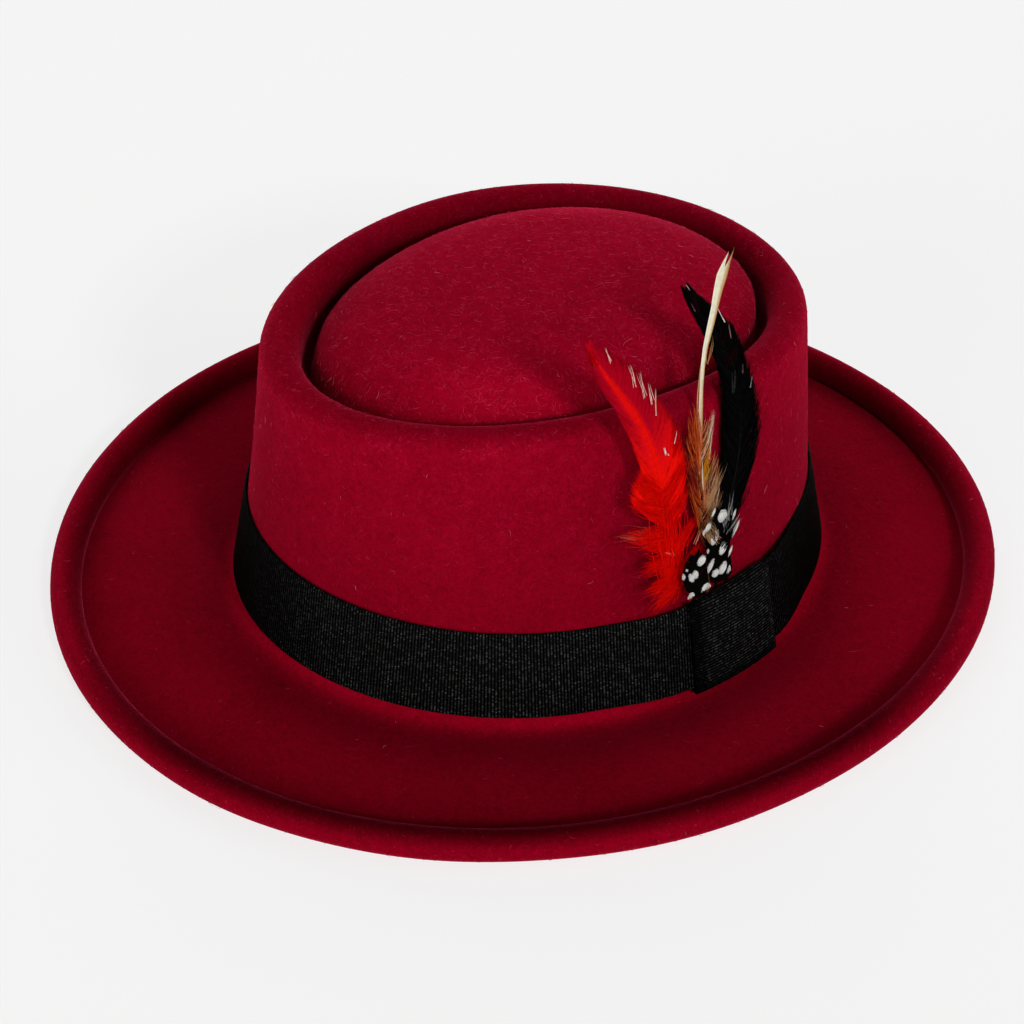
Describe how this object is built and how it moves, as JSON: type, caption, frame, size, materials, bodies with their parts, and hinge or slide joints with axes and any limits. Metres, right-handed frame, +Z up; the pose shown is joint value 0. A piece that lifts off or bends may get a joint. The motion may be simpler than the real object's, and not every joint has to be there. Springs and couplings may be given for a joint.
{
  "type": "pork pie hat",
  "caption": "Pork pie hat in wine-red felt with a domed, grooved crown, a rolled brim edge, a black ribbon with a flat bow and a spray of feathers.",
  "frame": {"origin": "middle of the bounding box in plan, on the surface that the brim rests on", "axes": "+Z up, -Y towards the front of the hat, +X towards the wearer's left, the side with the bow and feathers"},
  "size_m": [0.3066, 0.324, 0.1587],
  "materials": {
    "felt": "matt wool felt",
    "ribbon": "ribbed grosgrain",
    "black_feather": "soft barbs",
    "straw_feather": "satin quill",
    "red_feather": "soft barbs",
    "spotted_feather": "black with white spots"
  },
  "bodies": {
    "root": {"felt_body": "felt", "ribbon_band": "ribbon", "ribbon_bow": "ribbon", "feather_black": "black_feather", "feather_quill": "straw_feather", "feather_red": "red_feather", "feather_spotted_tall": "spotted_feather", "feather_spotted_short": "spotted_feather"}
  },
  "joints": []
}
